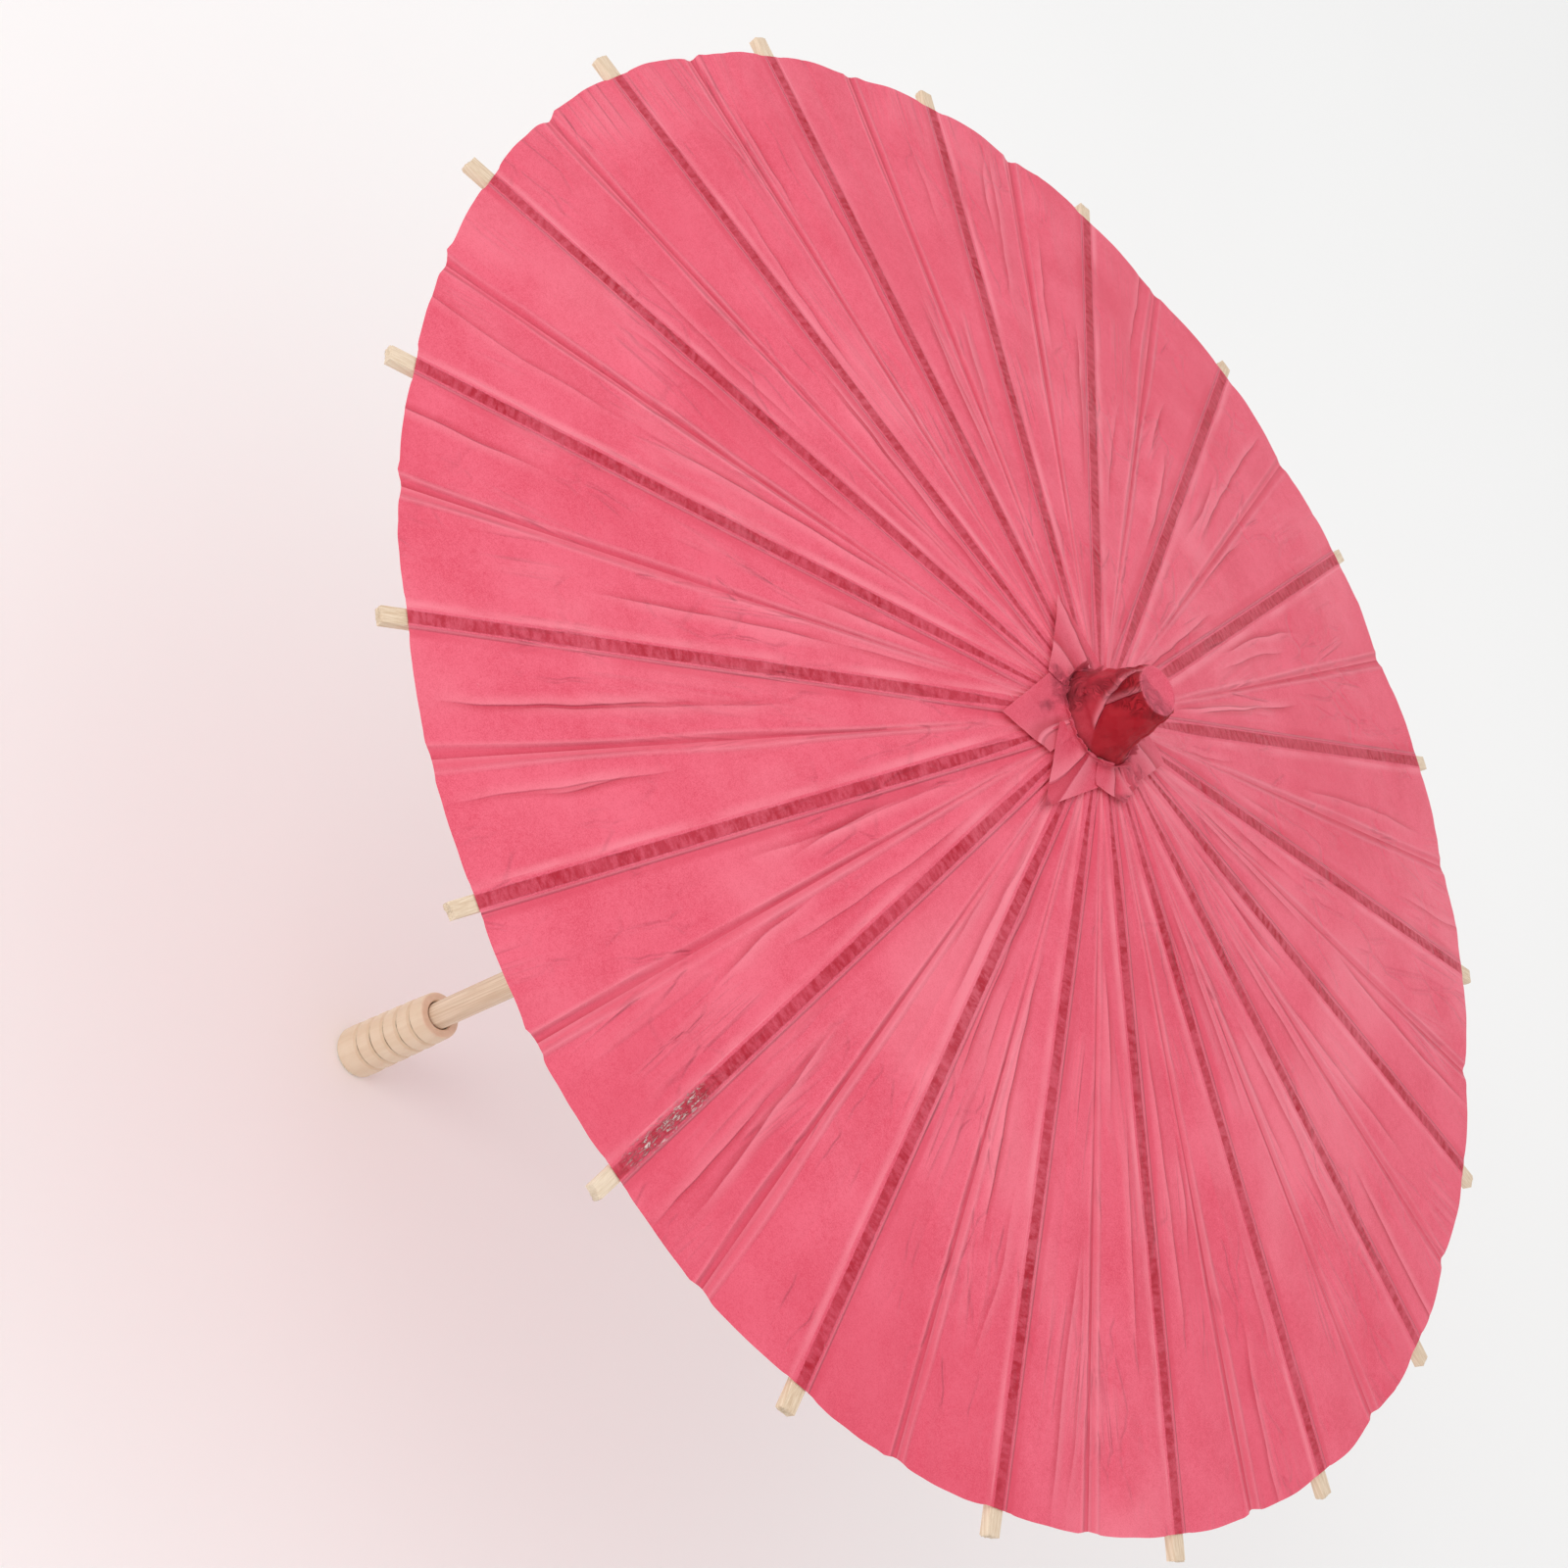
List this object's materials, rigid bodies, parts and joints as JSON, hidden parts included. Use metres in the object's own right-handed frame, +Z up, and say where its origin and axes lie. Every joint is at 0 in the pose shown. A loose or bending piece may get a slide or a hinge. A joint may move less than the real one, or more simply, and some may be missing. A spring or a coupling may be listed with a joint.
{
  "type": "oil paper umbrella",
  "caption": "Small folding oil paper umbrella, modelled open: red paper disc on bamboo ribs, with stretchers, a sliding runner, a plain round pole and a turned grip.",
  "frame": {"origin": "middle of the handle's flat base", "axes": "+Z up along the pole towards the head cover, +X towards rib_01, ribs numbered anticlockwise seen from above"},
  "size_m": [0.4059, 0.4074, 0.315],
  "materials": {
    "bamboo": "split bamboo, sanded and left bare",
    "turned_wood": "turned pale wood, lightly waxed",
    "oiled_paper": "oiled and dyed paper with a soft sheen",
    "steel_wire": "plain drawn wire"
  },
  "bodies": {
    "frame": {"pole": "bamboo", "handle": "turned_wood", "hub": "turned_wood", "hub_wire": "steel_wire", "hub_peg": "bamboo", "head_cover": "oiled_paper", "canopy": "oiled_paper"},
    "runner": {"runner": "turned_wood", "runner_wire": "steel_wire"},
    "catch": {"catch": "steel_wire"},
    "rib_01": {"rib_01": "bamboo"},
    "rib_02": {"rib_02": "bamboo"},
    "rib_03": {"rib_03": "bamboo"},
    "rib_04": {"rib_04": "bamboo"},
    "rib_05": {"rib_05": "bamboo"},
    "rib_06": {"rib_06": "bamboo"},
    "rib_07": {"rib_07": "bamboo"},
    "rib_08": {"rib_08": "bamboo"},
    "rib_09": {"rib_09": "bamboo"},
    "rib_10": {"rib_10": "bamboo"},
    "rib_11": {"rib_11": "bamboo"},
    "rib_12": {"rib_12": "bamboo"},
    "rib_13": {"rib_13": "bamboo"},
    "rib_14": {"rib_14": "bamboo"},
    "rib_15": {"rib_15": "bamboo"},
    "rib_16": {"rib_16": "bamboo"},
    "rib_17": {"rib_17": "bamboo"},
    "rib_18": {"rib_18": "bamboo"},
    "rib_19": {"rib_19": "bamboo"},
    "stretcher_01": {"stretcher_01": "bamboo"},
    "stretcher_02": {"stretcher_02": "bamboo"},
    "stretcher_03": {"stretcher_03": "bamboo"},
    "stretcher_04": {"stretcher_04": "bamboo"},
    "stretcher_05": {"stretcher_05": "bamboo"},
    "stretcher_06": {"stretcher_06": "bamboo"},
    "stretcher_07": {"stretcher_07": "bamboo"},
    "stretcher_08": {"stretcher_08": "bamboo"},
    "stretcher_09": {"stretcher_09": "bamboo"},
    "stretcher_10": {"stretcher_10": "bamboo"},
    "stretcher_11": {"stretcher_11": "bamboo"},
    "stretcher_12": {"stretcher_12": "bamboo"},
    "stretcher_13": {"stretcher_13": "bamboo"},
    "stretcher_14": {"stretcher_14": "bamboo"},
    "stretcher_15": {"stretcher_15": "bamboo"},
    "stretcher_16": {"stretcher_16": "bamboo"},
    "stretcher_17": {"stretcher_17": "bamboo"},
    "stretcher_18": {"stretcher_18": "bamboo"},
    "stretcher_19": {"stretcher_19": "bamboo"}
  },
  "joints": [
    {"name": "rib_01_fold", "type": "hinge", "parent": "frame", "child": "rib_01", "pos_m": [0.0086, 0, 0.2935], "axis": [0, 1, 0], "range_deg": [0, 74.6], "deforming": ["canopy", "head_cover", "catch"]},
    {"name": "rib_02_fold", "type": "hinge", "parent": "frame", "child": "rib_02", "pos_m": [0.00813, 0.00279, 0.2935], "axis": [-0.3247, 0.9458, 0], "range_deg": [0, 74.6]},
    {"name": "rib_03_fold", "type": "hinge", "parent": "frame", "child": "rib_03", "pos_m": [0.00679, 0.00528, 0.2935], "axis": [-0.6142, 0.7891, 0], "range_deg": [0, 74.6]},
    {"name": "rib_04_fold", "type": "hinge", "parent": "frame", "child": "rib_04", "pos_m": [0.0047, 0.0072, 0.2935], "axis": [-0.8372, 0.5469, 0], "range_deg": [0, 74.6]},
    {"name": "rib_05_fold", "type": "hinge", "parent": "frame", "child": "rib_05", "pos_m": [0.00211, 0.00834, 0.2935], "axis": [-0.9694, 0.2455, 0], "range_deg": [0, 74.6]},
    {"name": "rib_06_fold", "type": "hinge", "parent": "frame", "child": "rib_06", "pos_m": [-0.00071, 0.00857, 0.2935], "axis": [-0.9966, -0.0826, 0], "range_deg": [0, 74.6]},
    {"name": "rib_07_fold", "type": "hinge", "parent": "frame", "child": "rib_07", "pos_m": [-0.00345, 0.00788, 0.2935], "axis": [-0.9158, -0.4017, 0], "range_deg": [0, 74.6]},
    {"name": "rib_08_fold", "type": "hinge", "parent": "frame", "child": "rib_08", "pos_m": [-0.00582, 0.00633, 0.2935], "axis": [-0.7357, -0.6773, 0], "range_deg": [0, 74.6]},
    {"name": "rib_09_fold", "type": "hinge", "parent": "frame", "child": "rib_09", "pos_m": [-0.00756, 0.00409, 0.2935], "axis": [-0.4759, -0.8795, 0], "range_deg": [0, 74.6]},
    {"name": "rib_10_fold", "type": "hinge", "parent": "frame", "child": "rib_10", "pos_m": [-0.00848, 0.00142, 0.2935], "axis": [-0.1646, -0.9864, 0], "range_deg": [0, 74.6]},
    {"name": "rib_11_fold", "type": "hinge", "parent": "frame", "child": "rib_11", "pos_m": [-0.00848, -0.00142, 0.2935], "axis": [0.1646, -0.9864, 0], "range_deg": [0, 74.6]},
    {"name": "rib_12_fold", "type": "hinge", "parent": "frame", "child": "rib_12", "pos_m": [-0.00756, -0.00409, 0.2935], "axis": [0.4759, -0.8795, 0], "range_deg": [0, 74.6]},
    {"name": "rib_13_fold", "type": "hinge", "parent": "frame", "child": "rib_13", "pos_m": [-0.00582, -0.00633, 0.2935], "axis": [0.7357, -0.6773, 0], "range_deg": [0, 74.6]},
    {"name": "rib_14_fold", "type": "hinge", "parent": "frame", "child": "rib_14", "pos_m": [-0.00345, -0.00788, 0.2935], "axis": [0.9158, -0.4017, 0], "range_deg": [0, 74.6]},
    {"name": "rib_15_fold", "type": "hinge", "parent": "frame", "child": "rib_15", "pos_m": [-0.00071, -0.00857, 0.2935], "axis": [0.9966, -0.0826, 0], "range_deg": [0, 74.6]},
    {"name": "rib_16_fold", "type": "hinge", "parent": "frame", "child": "rib_16", "pos_m": [0.00211, -0.00834, 0.2935], "axis": [0.9694, 0.2455, 0], "range_deg": [0, 74.6]},
    {"name": "rib_17_fold", "type": "hinge", "parent": "frame", "child": "rib_17", "pos_m": [0.0047, -0.0072, 0.2935], "axis": [0.8372, 0.5469, 0], "range_deg": [0, 74.6]},
    {"name": "rib_18_fold", "type": "hinge", "parent": "frame", "child": "rib_18", "pos_m": [0.00679, -0.00528, 0.2935], "axis": [0.6142, 0.7891, 0], "range_deg": [0, 74.6]},
    {"name": "rib_19_fold", "type": "hinge", "parent": "frame", "child": "rib_19", "pos_m": [0.00813, -0.00279, 0.2935], "axis": [0.3247, 0.9458, 0], "range_deg": [0, 74.6]},
    {"name": "stretcher_01_joint", "type": "hinge", "parent": "rib_01", "child": "stretcher_01", "pos_m": [0.09339, 0, 0.27911], "axis": [0, 1, 0], "range_deg": [-149.2, 0]},
    {"name": "stretcher_02_joint", "type": "hinge", "parent": "rib_02", "child": "stretcher_02", "pos_m": [0.08833, 0.03032, 0.27911], "axis": [-0.3247, 0.9458, 0], "range_deg": [-149.2, 0]},
    {"name": "stretcher_03_joint", "type": "hinge", "parent": "rib_03", "child": "stretcher_03", "pos_m": [0.0737, 0.05736, 0.27911], "axis": [-0.6142, 0.7891, 0], "range_deg": [-149.2, 0]},
    {"name": "stretcher_04_joint", "type": "hinge", "parent": "rib_04", "child": "stretcher_04", "pos_m": [0.05108, 0.07818, 0.27911], "axis": [-0.8372, 0.5469, 0], "range_deg": [-149.2, 0]},
    {"name": "stretcher_05_joint", "type": "hinge", "parent": "rib_05", "child": "stretcher_05", "pos_m": [0.02293, 0.09053, 0.27911], "axis": [-0.9694, 0.2455, 0], "range_deg": [-149.2, 0]},
    {"name": "stretcher_06_joint", "type": "hinge", "parent": "rib_06", "child": "stretcher_06", "pos_m": [-0.00771, 0.09307, 0.27911], "axis": [-0.9966, -0.0826, 0], "range_deg": [-149.2, 0]},
    {"name": "stretcher_07_joint", "type": "hinge", "parent": "rib_07", "child": "stretcher_07", "pos_m": [-0.03751, 0.08552, 0.27911], "axis": [-0.9158, -0.4017, 0], "range_deg": [-149.2, 0]},
    {"name": "stretcher_08_joint", "type": "hinge", "parent": "rib_08", "child": "stretcher_08", "pos_m": [-0.06325, 0.06871, 0.27911], "axis": [-0.7357, -0.6773, 0], "range_deg": [-149.2, 0]},
    {"name": "stretcher_09_joint", "type": "hinge", "parent": "rib_09", "child": "stretcher_09", "pos_m": [-0.08213, 0.04445, 0.27911], "axis": [-0.4759, -0.8795, 0], "range_deg": [-149.2, 0]},
    {"name": "stretcher_10_joint", "type": "hinge", "parent": "rib_10", "child": "stretcher_10", "pos_m": [-0.09212, 0.01537, 0.27911], "axis": [-0.1646, -0.9864, 0], "range_deg": [-149.2, 0]},
    {"name": "stretcher_11_joint", "type": "hinge", "parent": "rib_11", "child": "stretcher_11", "pos_m": [-0.09212, -0.01537, 0.27911], "axis": [0.1646, -0.9864, 0], "range_deg": [-149.2, 0]},
    {"name": "stretcher_12_joint", "type": "hinge", "parent": "rib_12", "child": "stretcher_12", "pos_m": [-0.08213, -0.04445, 0.27911], "axis": [0.4759, -0.8795, 0], "range_deg": [-149.2, 0]},
    {"name": "stretcher_13_joint", "type": "hinge", "parent": "rib_13", "child": "stretcher_13", "pos_m": [-0.06325, -0.06871, 0.27911], "axis": [0.7357, -0.6773, 0], "range_deg": [-149.2, 0]},
    {"name": "stretcher_14_joint", "type": "hinge", "parent": "rib_14", "child": "stretcher_14", "pos_m": [-0.03751, -0.08552, 0.27911], "axis": [0.9158, -0.4017, 0], "range_deg": [-149.2, 0]},
    {"name": "stretcher_15_joint", "type": "hinge", "parent": "rib_15", "child": "stretcher_15", "pos_m": [-0.00771, -0.09307, 0.27911], "axis": [0.9966, -0.0826, 0], "range_deg": [-149.2, 0]},
    {"name": "stretcher_16_joint", "type": "hinge", "parent": "rib_16", "child": "stretcher_16", "pos_m": [0.02293, -0.09053, 0.27911], "axis": [0.9694, 0.2455, 0], "range_deg": [-149.2, 0]},
    {"name": "stretcher_17_joint", "type": "hinge", "parent": "rib_17", "child": "stretcher_17", "pos_m": [0.05108, -0.07818, 0.27911], "axis": [0.8372, 0.5469, 0], "range_deg": [-149.2, 0]},
    {"name": "stretcher_18_joint", "type": "hinge", "parent": "rib_18", "child": "stretcher_18", "pos_m": [0.0737, -0.05736, 0.27911], "axis": [0.6142, 0.7891, 0], "range_deg": [-149.2, 0]},
    {"name": "stretcher_19_joint", "type": "hinge", "parent": "rib_19", "child": "stretcher_19", "pos_m": [0.08833, -0.03032, 0.27911], "axis": [0.3247, 0.9458, 0], "range_deg": [-149.2, 0]},
    {"name": "runner_eye", "type": "hinge", "parent": "stretcher_01", "child": "runner", "pos_m": [0.0086, 0, 0.26472], "axis": [0, 1, 0], "range_deg": [0, 74.6]},
    {"name": "catch_press", "type": "hinge", "parent": "frame", "child": "catch", "pos_m": [-0.0013, 0, 0.22497], "axis": [0, 1, 0], "range_deg": [0, 5], "stiffness_Nm_per_rad": 0.2, "springref_deg": -1.72}
  ],
  "couplings": [
    {"joint": "rib_02_fold", "follows": "rib_01_fold", "ratio": 1},
    {"joint": "rib_03_fold", "follows": "rib_01_fold", "ratio": 1},
    {"joint": "rib_04_fold", "follows": "rib_01_fold", "ratio": 1},
    {"joint": "rib_05_fold", "follows": "rib_01_fold", "ratio": 1},
    {"joint": "rib_06_fold", "follows": "rib_01_fold", "ratio": 1},
    {"joint": "rib_07_fold", "follows": "rib_01_fold", "ratio": 1},
    {"joint": "rib_08_fold", "follows": "rib_01_fold", "ratio": 1},
    {"joint": "rib_09_fold", "follows": "rib_01_fold", "ratio": 1},
    {"joint": "rib_10_fold", "follows": "rib_01_fold", "ratio": 1},
    {"joint": "rib_11_fold", "follows": "rib_01_fold", "ratio": 1},
    {"joint": "rib_12_fold", "follows": "rib_01_fold", "ratio": 1},
    {"joint": "rib_13_fold", "follows": "rib_01_fold", "ratio": 1},
    {"joint": "rib_14_fold", "follows": "rib_01_fold", "ratio": 1},
    {"joint": "rib_15_fold", "follows": "rib_01_fold", "ratio": 1},
    {"joint": "rib_16_fold", "follows": "rib_01_fold", "ratio": 1},
    {"joint": "rib_17_fold", "follows": "rib_01_fold", "ratio": 1},
    {"joint": "rib_18_fold", "follows": "rib_01_fold", "ratio": 1},
    {"joint": "rib_19_fold", "follows": "rib_01_fold", "ratio": 1},
    {"joint": "stretcher_01_joint", "follows": "rib_01_fold", "ratio": -2},
    {"joint": "stretcher_02_joint", "follows": "rib_01_fold", "ratio": -2},
    {"joint": "stretcher_03_joint", "follows": "rib_01_fold", "ratio": -2},
    {"joint": "stretcher_04_joint", "follows": "rib_01_fold", "ratio": -2},
    {"joint": "stretcher_05_joint", "follows": "rib_01_fold", "ratio": -2},
    {"joint": "stretcher_06_joint", "follows": "rib_01_fold", "ratio": -2},
    {"joint": "stretcher_07_joint", "follows": "rib_01_fold", "ratio": -2},
    {"joint": "stretcher_08_joint", "follows": "rib_01_fold", "ratio": -2},
    {"joint": "stretcher_09_joint", "follows": "rib_01_fold", "ratio": -2},
    {"joint": "stretcher_10_joint", "follows": "rib_01_fold", "ratio": -2},
    {"joint": "stretcher_11_joint", "follows": "rib_01_fold", "ratio": -2},
    {"joint": "stretcher_12_joint", "follows": "rib_01_fold", "ratio": -2},
    {"joint": "stretcher_13_joint", "follows": "rib_01_fold", "ratio": -2},
    {"joint": "stretcher_14_joint", "follows": "rib_01_fold", "ratio": -2},
    {"joint": "stretcher_15_joint", "follows": "rib_01_fold", "ratio": -2},
    {"joint": "stretcher_16_joint", "follows": "rib_01_fold", "ratio": -2},
    {"joint": "stretcher_17_joint", "follows": "rib_01_fold", "ratio": -2},
    {"joint": "stretcher_18_joint", "follows": "rib_01_fold", "ratio": -2},
    {"joint": "stretcher_19_joint", "follows": "rib_01_fold", "ratio": -2},
    {"joint": "runner_eye", "follows": "rib_01_fold", "ratio": 1}
  ]
}
